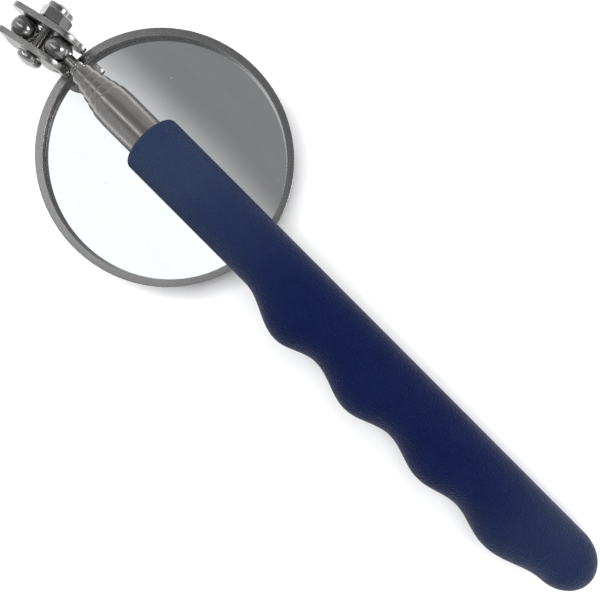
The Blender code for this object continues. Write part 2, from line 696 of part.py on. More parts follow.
def build():
    clear_scene()
    handle = frame_at("handle_axis", ROD_BALL, (0.0, -HANDLE_PITCH, 0.0))
    make_grip(handle)
    make_tubes(handle)
    make_end_plug(handle)
    for number in range(2, len(TUBE_RADII) + 1):
        make_friction_spring(number, TUBE_RADII[number - 1], TUBE_TAILS[number - 1], handle)
    make_rod_stud(handle)
    make_ball("rod_ball", handle, Vector((-1.0, 0.0, 0.0)))

    clamp = frame_at("clamp_axis", (0.0, 0.0, 0.0), (0.0, -CLAMP_PITCH, CLAMP_YAW), handle)
    make_clamp_plate("clamp_plate_head_side", 1.0, clamp)
    make_clamp_plate("clamp_plate_nut_side", -1.0, clamp)
    make_clamp_screw(clamp)
    make_lock_nut(frame_at("nut_axis", (BALL_SPACING / 2, 0.0, 0.0), parent=clamp))

    mirror = frame_at("mirror_axis", MIRROR_CENTRE, (0.0, -MIRROR_PITCH, MIRROR_YAW), handle)
    clamp_turn = Euler((0.0, radians(-CLAMP_PITCH), radians(CLAMP_YAW)), "XYZ").to_matrix()
    mirror_turn = Euler((0.0, radians(-MIRROR_PITCH), radians(MIRROR_YAW)), "XYZ").to_matrix()
    mirror_ball = clamp_turn @ Vector((BALL_SPACING, 0.0, 0.0))
    ball_place = mirror_turn.transposed() @ (mirror_ball - MIRROR_CENTRE)
    slope = radians(STEM_ANGLE)
    along = Vector((-cos(slope), 0.0, -sin(slope)))
    stem = frame_at("stem_axis", ball_place, parent=mirror)
    stem.rotation_euler = Vector((0.0, 0.0, 1.0)).rotation_difference(along).to_euler()
    make_ball("mirror_ball", stem, Vector((0.0, 0.0, 1.0)))
    make_mirror_stud(stem)
    pan_top = make_mirror(mirror)
    tang_bottom = make_bracket(mirror, ball_place, pan_top)
    make_rivets(mirror, pan_top, tang_bottom)


build()
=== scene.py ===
"""Looks for the telescoping inspection mirror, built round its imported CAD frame."""

import json
from math import acos, asin, cos, degrees, pi, radians, sin, sqrt

import bmesh
import bpy
from mathutils import Matrix, Vector


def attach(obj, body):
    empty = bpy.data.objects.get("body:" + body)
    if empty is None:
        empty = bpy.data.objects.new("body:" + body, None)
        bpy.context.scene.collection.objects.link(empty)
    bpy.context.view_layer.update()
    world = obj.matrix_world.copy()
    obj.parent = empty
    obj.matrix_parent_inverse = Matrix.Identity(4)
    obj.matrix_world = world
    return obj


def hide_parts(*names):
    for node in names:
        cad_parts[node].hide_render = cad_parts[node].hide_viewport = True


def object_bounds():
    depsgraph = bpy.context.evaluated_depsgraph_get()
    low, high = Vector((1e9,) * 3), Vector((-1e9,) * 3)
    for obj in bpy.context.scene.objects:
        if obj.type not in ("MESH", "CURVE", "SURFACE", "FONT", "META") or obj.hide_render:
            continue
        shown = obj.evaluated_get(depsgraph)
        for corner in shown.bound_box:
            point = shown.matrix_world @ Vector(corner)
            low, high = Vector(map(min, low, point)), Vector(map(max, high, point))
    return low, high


MM = 0.001

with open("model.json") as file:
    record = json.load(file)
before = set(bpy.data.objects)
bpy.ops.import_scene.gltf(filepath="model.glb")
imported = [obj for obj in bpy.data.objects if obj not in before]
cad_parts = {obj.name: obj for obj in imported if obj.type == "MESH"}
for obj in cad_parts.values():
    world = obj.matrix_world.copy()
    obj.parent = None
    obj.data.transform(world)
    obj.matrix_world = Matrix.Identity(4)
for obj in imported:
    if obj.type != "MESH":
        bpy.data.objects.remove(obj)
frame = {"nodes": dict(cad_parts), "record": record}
cad_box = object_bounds()

# ---------------------------------------------------------------- frames from the record

RECORD = frame["record"]
JOINTS = {joint["name"]: joint for joint in RECORD["behaviour"]["joints"]}
MOUNTS = {mount["name"]: mount for mount in RECORD["mounts"]}


def axes_frame(origin, x_axis, z_axis):
    """Matrix with its X and Z along two perpendicular directions."""
    x_axis = Vector(x_axis).normalized()
    z_axis = Vector(z_axis).normalized()
    rotation = Matrix((x_axis, z_axis.cross(x_axis), z_axis)).transposed().to_4x4()
    return Matrix.Translation(origin) @ rotation


rod_ball_place = Vector(JOINTS["rod_spin"]["pos_m"])
mirror_ball_place = Vector(JOINTS["mirror_spin"]["pos_m"])
nut_place = Vector(JOINTS["nut_turn"]["pos_m"])
HANDLE = axes_frame(rod_ball_place, JOINTS["rod_spin"]["axis"], JOINTS["rod_tilt"]["axis"])
clamp_x = (nut_place - rod_ball_place).normalized()
clamp_y = Vector(JOINTS["nut_turn"]["axis"])
CLAMP = axes_frame(rod_ball_place, clamp_x, clamp_x.cross(clamp_y))
BALL_SPACING = (mirror_ball_place - rod_ball_place).length
STEM = axes_frame(mirror_ball_place, JOINTS["mirror_tilt"]["axis"], JOINTS["mirror_spin"]["axis"])
mirror_up = Vector(MOUNTS["glass_face"]["axis"])
mirror_y = STEM.to_3x3() @ Vector((0.0, 1.0, 0.0))
RECESS = 1.6 * MM
rim_centre = Vector(MOUNTS["glass_face"]["pos_m"]) - 15.0 * MM * mirror_y + RECESS * mirror_up
MIRROR = axes_frame(rim_centre, mirror_y.cross(mirror_up), mirror_up)
TUBE_AXIS = HANDLE @ Matrix.Rotation(pi / 2, 4, "Y")       # local Z runs towards the head

# ---------------------------------------------------------------- camera

CAMERA_DISTANCE = 107.5 * MM
FOCAL_RATIO = 580.0 / 600.0
IMAGE_TURN = radians(45.09)
CAMERA_ALONG = -64.04 * MM
CAMERA_ASIDE = 0.63 * MM


def make_camera():
    head = Vector((-cos(IMAGE_TURN), sin(IMAGE_TURN), 0.0))
    side = Vector((-head.y, head.x, 0.0))
    handle_to_view = Matrix((head, side, Vector((0.0, 0.0, 1.0)))).transposed()
    data = bpy.data.cameras.new("camera")
    data.sensor_width = 36.0
    data.lens = 36.0 * FOCAL_RATIO
    data.clip_start = 0.001
    data.dof.use_dof = False
    camera = bpy.data.objects.new("camera", data)
    bpy.context.scene.collection.objects.link(camera)
    place = Matrix.Translation((CAMERA_ALONG, CAMERA_ASIDE, CAMERA_DISTANCE))
    camera.matrix_world = HANDLE @ place @ handle_to_view.transposed().to_4x4()
    bpy.context.scene.camera = camera


# ---------------------------------------------------------------- shader helpers

OWN_FRAME = "own_frame"        # vertex attribute: a point's place in its piece's own axes


class Nodes:
    """Short calls for building one material's node tree."""

    def __init__(self, name, own_frame=True):
        self.material = bpy.data.materials.new(name)
        self.material.use_nodes = True
        self.tree = self.material.node_tree
        self.shader = self.tree.nodes["Principled BSDF"]
        if own_frame:
            self.coords = self.add("ShaderNodeAttribute", attribute_name=OWN_FRAME).outputs["Vector"]
        else:
            self.coords = self.add("ShaderNodeTexCoord").outputs["Object"]

    def add(self, kind, **settings):
        node = self.tree.nodes.new(kind)
        for key, value in settings.items():
            setattr(node, key, value)
        return node

    def link(self, source, target):
        if isinstance(source, (int, float)):
            target.default_value = source
        elif isinstance(source, tuple):
            target.default_value = source if len(source) == 4 else (*source, 1.0)
        else:
            self.tree.links.new(source, target)

    def mapped(self, scale, source=None, rotation=(0.0, 0.0, 0.0)):
        node = self.add("ShaderNodeMapping")
        self.link(source or self.coords, node.inputs["Vector"])
        node.inputs["Scale"].default_value = scale
        node.inputs["Rotation"].default_value = rotation
        return node.outputs["Vector"]

    def noise(self, scale, detail=3.0, roughness=0.55, source=None):
        node = self.add("ShaderNodeTexNoise")
        self.link(source or self.coords, node.inputs["Vector"])
        node.inputs["Scale"].default_value = scale
        node.inputs["Detail"].default_value = detail
        node.inputs["Roughness"].default_value = roughness
        return node.outputs["Fac"]

    def cells(self, scale, source=None, feature="F1", smooth=None):
        node = self.add("ShaderNodeTexVoronoi", feature=feature)
        self.link(source or self.coords, node.inputs["Vector"])
        node.inputs["Scale"].default_value = scale
        if smooth is not None:
            node.inputs["Smoothness"].default_value = smooth
        return node.outputs["Distance"]

    def ramp(self, source, low, high, to_low=0.0, to_high=1.0):
        node = self.add("ShaderNodeMapRange")
        self.link(source, node.inputs["Value"])
        node.inputs["From Min"].default_value = low
        node.inputs["From Max"].default_value = high
        node.inputs["To Min"].default_value = to_low
        node.inputs["To Max"].default_value = to_high
        return node.outputs["Result"]

    def soft(self, source, low, high):
        node = self.add("ShaderNodeMapRange", interpolation_type="SMOOTHSTEP")
        self.link(source, node.inputs["Value"])
        node.inputs["From Min"].default_value = low
        node.inputs["From Max"].default_value = high
        return node.outputs["Result"]

    def math(self, operation, first, second=0.0):
        node = self.add("ShaderNodeMath", operation=operation)
        self.link(first, node.inputs[0])
        self.link(second, node.inputs[1])
        return node.outputs["Value"]

    def mix(self, factor, first, second):
        node = self.add("ShaderNodeMix", data_type="RGBA", blend_type="MIX")
        self.link(factor, node.inputs[0])
        self.link(first, node.inputs[6])
        self.link(second, node.inputs[7])
        return node.outputs[2]

    def bump(self, height, strength, distance, normal=None):
        node = self.add("ShaderNodeBump")
        node.inputs["Strength"].default_value = strength
        node.inputs["Distance"].default_value = distance
        self.link(height, node.inputs["Height"])
        if normal is not None:
            self.link(normal, node.inputs["Normal"])
        return node.outputs["Normal"]

    def split(self, source=None):
        node = self.add("ShaderNodeSeparateXYZ")
        self.link(source or self.coords, node.inputs["Vector"])
        return node.outputs

    def join(self, x, y, z):
        node = self.add("ShaderNodeCombineXYZ")
        for value, socket in zip((x, y, z), node.inputs):
            self.link(value, socket)
        return node.outputs["Vector"]

    def radius(self):
        """Distance from the local Z axis."""
        x, y, _ = self.split()
        squares = self.math("ADD", self.math("MULTIPLY", x, x), self.math("MULTIPLY", y, y))
        return self.math("SQRT", squares)

    def edge_wear(self, size):
        """1 on sharp convex edges, 0 on flat faces."""
        bevel = self.add("ShaderNodeBevel", samples=6)
        bevel.inputs["Radius"].default_value = size
        geometry = self.add("ShaderNodeNewGeometry")
        dot = self.add("ShaderNodeVectorMath", operation="DOT_PRODUCT")
        self.link(bevel.outputs["Normal"], dot.inputs[0])
        self.link(geometry.outputs["Normal"], dot.inputs[1])
        return self.ramp(dot.outputs["Value"], 0.995, 0.80, 0.0, 1.0)

    def finish(self, colour=None, roughness=None, normal=None, **fixed):
        if colour is not None:
            self.link(colour, self.shader.inputs["Base Color"])
        if roughness is not None:
            self.link(roughness, self.shader.inputs["Roughness"])
        if normal is not None:
            self.link(normal, self.shader.inputs["Normal"])
        for key, value in fixed.items():
            self.shader.inputs[key.replace("_", " ")].default_value = value
        return self.material


# ---------------------------------------------------------------- materials


def vinyl():
    """Soft dipped vinyl: deep navy, fine pebble grain with painted highlights on the pebble tips, and a
    painted sheen, a dull lighter bloom towards the front and the tail.
    """
    n = Nodes("navy_vinyl")
    mottled = n.noise(170.0, detail=4.0, roughness=0.6)
    colour = n.mix(n.ramp(mottled, 0.35, 0.7), (0.0012, 0.0055, 0.040), (0.0022, 0.0075, 0.048))
    along = n.split()[0]
    # Painted sheen: the colour turns lighter towards the front and the tail, standing in for light reflected
    # there.
    front = n.math("MULTIPLY", n.soft(along, -0.070, -0.026), 0.90)
    tail = n.math("MULTIPLY", n.soft(along, -0.104, -0.130), 0.45)
    patchy = n.ramp(n.noise(75.0, detail=3.0), 0.3, 0.7, 0.75, 1.1)
    painted_sheen = n.math("MULTIPLY", n.math("ADD", front, tail), patchy)
    colour = n.mix(painted_sheen, colour, (0.020, 0.034, 0.074))
    pebble = n.cells(2700.0, feature="SMOOTH_F1", smooth=0.35)
    # Painted highlights: the tips of the pebbles are coloured lighter, standing in for glints of light on
    # them.
    painted_tip_glints = n.math("MULTIPLY", n.ramp(pebble, 0.30, 0.05), n.ramp(n.noise(900.0), 0.45, 0.7))
    colour = n.mix(n.math("MULTIPLY", painted_tip_glints, 0.25), colour, (0.012, 0.020, 0.060))
    fine = n.noise(5200.0, detail=2.0)
    height = n.math("ADD", n.math("MULTIPLY", pebble, -0.9), n.math("MULTIPLY", fine, 0.35))
    normal = n.bump(n.noise(420.0, detail=2.0), 0.25, 0.0005)
    normal = n.bump(height, 0.85, 0.00022, normal)
    roughness = n.ramp(n.noise(1100.0, detail=3.0), 0.3, 0.75, 0.40, 0.56)
    return n.finish(colour, roughness, normal, IOR=1.46, Specular_IOR_Level=0.12)


def drawn_steel(name, tint=(0.36, 0.345, 0.325), dull=0.20, lines=True):
    """Satin stainless tube: fine lines along the draw, faint smears and handling marks."""
    n = Nodes(name)
    along = n.mapped((2600.0, 2600.0, 60.0))
    streak = n.noise(1.0, detail=3.0, source=along)
    smear = n.noise(260.0, detail=4.0, roughness=0.62)
    colour = n.mix(n.ramp(smear, 0.3, 0.75), tint, tuple(0.80 * c for c in tint))
    colour = n.mix(n.math("MULTIPLY", n.ramp(streak, 0.35, 0.7), 0.35), colour, (0.47, 0.455, 0.435))
    roughness = n.math(
        "ADD", n.ramp(smear, 0.3, 0.75, dull - 0.06, dull + 0.10),
        n.math("MULTIPLY", streak, 0.07),
    )
    normal = n.bump(streak, 0.16, 0.00003)
    if lines:
        rings = n.noise(1.0, detail=2.0, source=n.mapped((30.0, 30.0, 4200.0)))
        normal = n.bump(rings, 0.10, 0.00002, normal)
    return n.finish(colour, roughness, normal, Metallic=1.0)


def turned_steel(name, tint, dull, ring_scale=5200.0):
    """Concentric turning marks round the local Z axis, dulled by light scuffs."""
    n = Nodes(name)
    _, _, height = n.split()
    rings = n.noise(
        1.0, detail=3.0,
        source=n.join(n.math("MULTIPLY", n.radius(), ring_scale), n.math("MULTIPLY", height, 2600.0), 0.0),
    )
    drift = n.noise(120.0, detail=3.0)
    scuff = n.noise(900.0, detail=4.0, roughness=0.7)
    colour = n.mix(n.ramp(rings, 0.3, 0.72), tuple(0.74 * c for c in tint), tint)
    colour = n.mix(n.math("MULTIPLY", n.ramp(drift, 0.35, 0.7), 0.35), colour, tuple(0.70 * c for c in tint))
    roughness = n.math(
        "ADD", n.ramp(rings, 0.25, 0.75, dull - 0.07, dull + 0.07),
        n.math("MULTIPLY", n.ramp(scuff, 0.45, 0.8), 0.07),
    )
    normal = n.bump(rings, 0.12, 0.00002)
    return n.finish(colour, roughness, normal, Metallic=1.0, Anisotropic=0.45)


def polished_steel(name, tint=(0.63, 0.62, 0.61), dull=0.10):
    """Bright plating with tiny ripples, finger haze and hairline scratches."""
    n = Nodes(name)
    haze = n.noise(380.0, detail=4.0, roughness=0.6)
    ripple = n.noise(900.0, detail=2.0)
    hair = n.noise(1.0, detail=2.0, source=n.mapped((5000.0, 240.0, 900.0), rotation=(0.4, 0.9, 0.3)))
    colour = n.mix(n.ramp(haze, 0.35, 0.72), tint, tuple(0.76 * c for c in tint))
    roughness = n.math(
        "ADD", n.ramp(haze, 0.3, 0.75, dull - 0.04, dull + 0.12),
        n.math("MULTIPLY", n.ramp(hair, 0.55, 0.8), 0.15),
    )
    normal = n.bump(ripple, 0.10, 0.00006)
    normal = n.bump(hair, 0.12, 0.00002, normal)
    return n.finish(colour, roughness, normal, Metallic=1.0)


def stamped_steel():
    """Pressed plate: satin flats, brighter rubbed edges and a coarse sheared grain."""
    n = Nodes("stamped_steel")
    grain = n.noise(1.0, detail=4.0, source=n.mapped((420.0, 2400.0, 2400.0)))
    patch = n.noise(420.0, detail=4.0, roughness=0.62)
    colour = n.mix(n.ramp(patch, 0.32, 0.72), (0.42, 0.41, 0.40), (0.30, 0.295, 0.285))
    rubbed = n.edge_wear(0.00018)
    colour = n.mix(n.math("MULTIPLY", rubbed, 0.6), colour, (0.72, 0.71, 0.70))
    roughness = n.math(
        "SUBTRACT", n.ramp(n.math("ADD", grain, patch), 0.7, 1.35, 0.17, 0.38),
        n.math("MULTIPLY", rubbed, 0.08),
    )
    normal = n.bump(grain, 0.20, 0.00004)
    normal = n.bump(patch, 0.12, 0.0001, normal)
    return n.finish(colour, roughness, normal, Metallic=1.0)


def mirror_glass():
    """Silvered glass: near-perfect reflection with faint wipe marks and specks of dust."""
    n = Nodes("silvered_glass")
    wipe = n.noise(1.0, detail=3.0, source=n.mapped((90.0, 340.0, 1.0), rotation=(0.0, 0.0, 0.7)))
    dust = n.cells(520.0)
    speck = n.ramp(dust, 0.05, 0.11, 1.0, 0.0)
    keep = n.soft(n.noise(190.0, detail=1.0), 0.56, 0.62)
    speck = n.math("MULTIPLY", speck, keep)
    colour = n.mix(n.ramp(wipe, 0.35, 0.75), (0.90, 0.915, 0.91), (0.85, 0.87, 0.87))
    colour = n.mix(n.math("MULTIPLY", speck, 0.35), colour, (0.55, 0.55, 0.54))
    roughness = n.math(
        "ADD", n.ramp(wipe, 0.4, 0.8, 0.018, 0.055), n.math("MULTIPLY", speck, 0.25)
    )
    return n.finish(colour, roughness, None, Metallic=1.0, Coat_Weight=0.5, Coat_Roughness=0.02)


def moulded(name, tint, grain_scale=1500.0, own_frame=True):
    """Plain moulded plastic with an even tool texture."""
    n = Nodes(name, own_frame)
    patch = n.noise(300.0, detail=3.0)
    grain = n.noise(grain_scale, detail=3.0)
    colour = n.mix(n.ramp(patch, 0.35, 0.7), tint, tuple(0.82 * c for c in tint))
    roughness = n.ramp(grain, 0.3, 0.7, 0.42, 0.56)
    return n.finish(colour, roughness, n.bump(grain, 0.2, 0.00005))


def foam():
    n = Nodes("pad_foam")
    pore = n.cells(2200.0)
    colour = n.mix(n.ramp(pore, 0.1, 0.7), (0.012, 0.012, 0.012), (0.035, 0.035, 0.036))
    return n.finish(colour, n.ramp(pore, 0.1, 0.6, 0.95, 0.80), n.bump(pore, 0.6, 0.0002))


def spring_bronze():
    n = Nodes("spring_bronze", own_frame=False)
    streak = n.noise(1.0, detail=3.0, source=n.mapped((2200.0, 2200.0, 200.0)))
    stain = n.noise(350.0, detail=4.0)
    colour = n.mix(n.ramp(stain, 0.35, 0.7), (0.58, 0.37, 0.17), (0.40, 0.24, 0.10))
    return n.finish(colour, n.ramp(streak, 0.3, 0.7, 0.22, 0.38), n.bump(streak, 0.2, 0.00004), Metallic=1.0)


# ---------------------------------------------------------------- mesh helpers


made = []        # each new piece with its body, material slot and the CAD nodes it stands for


def add_piece(name, solid, matrix, body, material, slot, replaced=(), smooth=32.0):
    """Make one visible piece, in its own axes until place_pieces."""
    mesh = bpy.data.meshes.new(name)
    bmesh.ops.remove_doubles(solid, verts=solid.verts[:], dist=0.001 * MM)
    bmesh.ops.recalc_face_normals(solid, faces=solid.faces[:])
    solid.to_mesh(mesh)
    solid.free()
    mesh.shade_smooth()
    mesh.set_sharp_from_angle(angle=radians(smooth))
    mesh.materials.append(material)
    piece = bpy.data.objects.new(name, mesh)
    bpy.context.scene.collection.objects.link(piece)
    piece.matrix_world = matrix
    made.append((piece, body, slot, replaced))
    return piece


def place_pieces():
    """Write each finished piece in the CAD frame, keeping its own axes for its texture."""
    for piece, body, slot, replaced in made:
        mesh = piece.data
        own = mesh.attributes.new(OWN_FRAME, "FLOAT_VECTOR", "POINT")
        for vert in mesh.vertices:
            own.data[vert.index].vector = vert.co
        mesh.transform(piece.matrix_world)
        piece.matrix_world = Matrix.Identity(4)
        if slot != "grip":
            flats = piece.modifiers.new("flats", "WEIGHTED_NORMAL")
            flats.keep_sharp = True
        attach(piece, body)
        if replaced:
            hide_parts(*replaced)


def fillet(points, steps=4):
    """Round the corners of a closed outline. Each point is (radius, height, fillet)."""
    rounded = []
    count = len(points)
    for i, (r, h, size) in enumerate(points):
        corner = Vector((r, h))
        if size <= 0.0:
            rounded.append((r, h))
            continue
        before = Vector(points[i - 1][:2]) - corner
        after = Vector(points[(i + 1) % count][:2]) - corner
        cosine = max(-1.0, min(1.0, before.normalized().dot(after.normalized())))
        half = acos(cosine) / 2.0
        cut = min(size / max(0.05, sin(half)) * cos(half), 0.49 * before.length, 0.49 * after.length)
        start = corner + before.normalized() * cut
        end = corner + after.normalized() * cut
        for k in range(steps + 1):
            t = k / steps
            point = (1 - t) ** 2 * start + 2 * t * (1 - t) * corner + t * t * end
            rounded.append((point.x, point.y))
    return rounded


def lathe(outline, sides=64):
    """Turn a closed outline of (radius, height) points round local Z."""
    solid = bmesh.new()
    rings = []
    for r, h in outline:
        if r < 1e-7:
            rings.append([solid.verts.new((0.0, 0.0, h))])
        else:
            rings.append([
                solid.verts.new((r * cos(2 * pi * i / sides), r * sin(2 * pi * i / sides), h))
                for i in range(sides)
            ])
    for near, far in zip(rings, rings[1:] + rings[:1]):
        for i in range(sides):
            j = (i + 1) % sides
            corners = [near[i % len(near)], near[j % len(near)], far[j % len(far)], far[i % len(far)]]
            unique = []
            for vert in corners:
                if vert not in unique:
                    unique.append(vert)
            if len(unique) > 2:
                solid.faces.new(unique)
    return solid


def turn(solid, matrix):
    bmesh.ops.transform(solid, matrix=matrix, verts=solid.verts[:])
    return solid


def loft(rings, close_start=True, close_end=True):
    """Skin a list of equal rings of points."""
    solid = bmesh.new()
    loops = [[solid.verts.new(point) for point in ring] for ring in rings]
    sides = len(loops[0])
    for near, far in zip(loops, loops[1:]):
        for i in range(sides):
            j = (i + 1) % sides
            solid.faces.new((near[i], near[j], far[j], far[i]))
    if close_start:
        solid.faces.new(list(reversed(loops[0])))
    if close_end:
        solid.faces.new(loops[-1])
    return solid


def tool(solid, matrix):
    """A temporary body for a Boolean."""
    mesh = bpy.data.meshes.new("tool")
    bmesh.ops.recalc_face_normals(solid, faces=solid.faces[:])
    solid.to_mesh(mesh)
    solid.free()
    piece = bpy.data.objects.new("tool", mesh)
    bpy.context.scene.collection.objects.link(piece)
    piece.matrix_world = matrix
    return piece


def cut(piece, tools, operation="DIFFERENCE"):
    """Apply Booleans to a piece and delete the tools."""
    for other in tools:
        modifier = piece.modifiers.new("cut", "BOOLEAN")
        modifier.operation = operation
        modifier.object = other
    settle(piece)
    for other in tools:
        bpy.data.objects.remove(other, do_unlink=True)


def settle(piece):
    """Replace a piece's mesh by what its modifiers make of it."""
    bpy.context.view_layer.update()
    evaluated = piece.evaluated_get(bpy.context.evaluated_depsgraph_get())
    mesh = bpy.data.meshes.new_from_object(evaluated)
    piece.modifiers.clear()
    piece.data = mesh


# ---------------------------------------------------------------- grip

GRIP_RADIUS = 5.95 * MM
GRIP_FRONT = -24.15 * MM
GRIP_TAIL = -138.15 * MM
FRONT_ROUND = 0.7 * MM
TAIL_ROUND = 6.2 * MM
# Distance along the handle and reach beyond the axis of each crest and hollow of the grip
LOBES = [
    (-54.95, 5.95), (-66.15, 9.4), (-74.55, 7.05), (-84.35, 9.4), (-93.75, 6.9),
    (-102.95, 8.9), (-111.35, 7.25), (-120.35, 9.0), (-132.45, 5.95),
]


def grip_reach(x):
    for (x0, r0), (x1, r1) in zip(LOBES, LOBES[1:]):
        if x1 * MM <= x <= x0 * MM:
            blend = (1.0 - cos(pi * (x0 * MM - x) / ((x0 - x1) * MM))) / 2.0
            return (r0 + (r1 - r0) * blend) * MM
    return GRIP_RADIUS


def grip_scale(x):
    if x > GRIP_FRONT - FRONT_ROUND:
        depth = (x - GRIP_FRONT + FRONT_ROUND) / FRONT_ROUND
        return 1.0 - (FRONT_ROUND / GRIP_RADIUS) * (1.0 - sqrt(max(0.0, 1.0 - depth * depth)))
    if x < GRIP_TAIL + TAIL_ROUND:
        depth = (GRIP_TAIL + TAIL_ROUND - x) / TAIL_ROUND
        return sqrt(max(0.0, 1.0 - depth * depth))
    return 1.0


def make_grip(material):
    sides = 72
    bore = 4.02 * MM
    stations = [GRIP_FRONT - FRONT_ROUND * (1.0 - cos(pi / 2 * i / 8)) for i in range(9)]
    straight = [GRIP_FRONT - FRONT_ROUND - 3.0 * MM * i for i in range(1, 10)]
    body_end = GRIP_TAIL + TAIL_ROUND
    lobes = [LOBES[0][0] * MM + (body_end - LOBES[0][0] * MM) * i / 130 for i in range(131)]
    cap = [GRIP_TAIL + TAIL_ROUND * (1.0 - sin(pi / 2 * i / 18)) for i in range(1, 18)]
    rings = []
    for x in stations + straight + lobes + cap:
        reach = grip_reach(x)
        scale = grip_scale(x)
        swell = 1.0 + 0.10 * (reach / GRIP_RADIUS - 1.0)
        ring = []
        for i in range(sides):
            angle = 2.0 * pi * i / sides
            side = sin(angle)
            radius_y = reach if side > 0.0 else GRIP_RADIUS
            ring.append(Vector((
                x, radius_y * side * scale, GRIP_RADIUS * swell * cos(angle) * scale
            )))
        rings.append(ring)
    mouth = [
        Vector((GRIP_FRONT, bore * sin(2 * pi * i / sides), bore * cos(2 * pi * i / sides)))
        for i in range(sides)
    ]
    deep = [point - Vector((8.0 * MM, 0.0, 0.0)) for point in mouth]
    solid = loft([deep, mouth] + rings, close_start=True, close_end=False)
    tip = solid.verts.new((GRIP_TAIL, 0.0, 0.0))
    solid.verts.ensure_lookup_table()
    last = [solid.verts[-1 - sides + i] for i in range(sides)]
    for i in range(sides):
        solid.faces.new((last[i], last[(i + 1) % sides], tip))
    return add_piece("grip_skin", solid, HANDLE, "handle", material, "grip", ["grip"], smooth=55.0)


# ---------------------------------------------------------------- tubes and studs

TUBE_RADII = [4.0 * MM, 3.55 * MM, 3.1 * MM, 2.65 * MM, 2.2 * MM]
TUBE_FRONTS = [-13.25 * MM, -11.55 * MM, -9.8 * MM, -8.05 * MM, -6.2 * MM]
TUBE_TAILS = [-134.05 * MM, -131.05 * MM, -126.45 * MM, -121.85 * MM, -117.25 * MM]
NOSES = [2.6 * MM, 1.9 * MM, 1.8 * MM, 1.8 * MM, 1.2 * MM]
TUBE_WALL = 0.25 * MM
BALL_RADIUS = 2.5 * MM
NECK_RADIUS = 1.25 * MM


def make_tubes(material):
    for index, radius in enumerate(TUBE_RADII):
        front = TUBE_FRONTS[index]
        tail = TUBE_TAILS[index]
        nose = NOSES[index]
        ahead = TUBE_RADII[index + 1] if index < 4 else radius - 0.3 * MM
        bore = ahead + 0.06 * MM
        lip = bore + 0.14 * MM
        inner = radius - TUBE_WALL
        if index == 0:
            shoulder = [
                (lip, front, 0.10 * MM), (lip + 0.10 * MM, front - 0.25 * MM, 0.0),
                (lip + 0.62 * (radius - lip), front - 0.42 * nose, 0.8 * MM),
                (radius, front - nose, 0.9 * MM),
            ]
        else:
            arc = [pi / 2 * k / 7 for k in range(8)]
            shoulder = [
                (lip + (radius - lip) * sin(a), front - 0.8 * nose * (1.0 - cos(a)), 0.0)
                for a in arc
            ]
        outline = [
            (bore, front, 0.05 * MM),
            *shoulder,
            (radius, tail + 3.6 * MM, 0.0),
            (radius - 0.2 * MM, tail + 3.3 * MM, 0.0),
            (radius - 0.2 * MM, tail, 0.05 * MM),
            (radius - 0.45 * MM, tail, 0.05 * MM),
            (radius - 0.45 * MM, tail + 3.3 * MM, 0.0),
            (inner, tail + 3.9 * MM, 0.0),
            (inner, front - nose - 0.1 * MM, 0.2 * MM),
            (bore, front - 0.5 * nose, 0.2 * MM),
        ]
        node = "outer_tube" if index == 0 else f"tube_{index + 1}"
        body = "handle" if index == 0 else f"stage_{index + 1}"
        add_piece(
            f"{node}_skin", lathe(fillet(outline), 72), TUBE_AXIS, body, material,
            "tube_steel", [node],
        )


def make_rod_stud(material):
    ball = BALL_RADIUS
    collar = 1.5 * MM
    groove = collar - 0.15 * MM
    shank = 1.65 * MM
    face = TUBE_FRONTS[-1]
    soft = 0.08 * MM
    outline = [(0.0, -ball - 0.02 * MM, 0.0), (1.1 * MM, -ball + 0.12 * MM, 0.0)]
    outline += [(NECK_RADIUS, -ball - 0.25 * MM, 0.2 * MM), (NECK_RADIUS, -4.5 * MM, 0.1 * MM)]
    outline += [(collar, -4.65 * MM, 0.1 * MM)]
    for ring in (4.9 * MM, 5.45 * MM):
        outline += [(collar, -ring, soft), (groove, -ring - 0.08 * MM, soft)]
        outline += [(groove, -ring - 0.2 * MM, soft), (collar, -ring - 0.28 * MM, soft)]
    outline += [(collar, face + 0.1 * MM, soft), (shank, face, 0.0), (shank, face - 7.0 * MM, 0.1 * MM)]
    outline += [(0.0, face - 7.0 * MM, 0.0)]
    add_piece(
        "rod_stud_skin", lathe(fillet(outline), 64), TUBE_AXIS, "rod_stud", material,
        "stud_steel", ["rod_stud"],
    )


def make_ball(name, matrix, body, node, material, neck_up):
    """A polished ball, flattened a little where its stud leaves it."""
    radius = BALL_RADIUS
    flat = degrees(acos(0.55 * MM / BALL_RADIUS))
    outline = [(0.0, radius * sin(radians(flat)))]
    outline += [
        (radius * cos(radians(a)), radius * sin(radians(a)))
        for a in [flat + (-90.0 - flat) * i / 26 for i in range(26)]
    ]
    outline.append((0.0, -radius))
    solid = lathe(outline, 56)
    if not neck_up:
        turn(solid, Matrix.Rotation(pi, 4, "X"))
    add_piece(name, solid, matrix, body, material, "ball_steel", [node])


# ---------------------------------------------------------------- clamp

PLATE_GAP = 2.1 * MM
PLATE_THICKNESS = 1.2 * MM
PLATE_END = 3.75 * MM
BULGE = 4.0 * MM
SEAT = 2.6 * MM


def plate_ring(radius, y):
    ring = []
    for i in range(41):
        angle = -pi / 2 + pi * i / 40
        ring.append(Vector((BALL_SPACING + radius * cos(angle), y, radius * sin(angle))))
    for i in range(41):
        angle = pi / 2 + pi * i / 40
        ring.append(Vector((radius * cos(angle), y, radius * sin(angle))))
    return ring


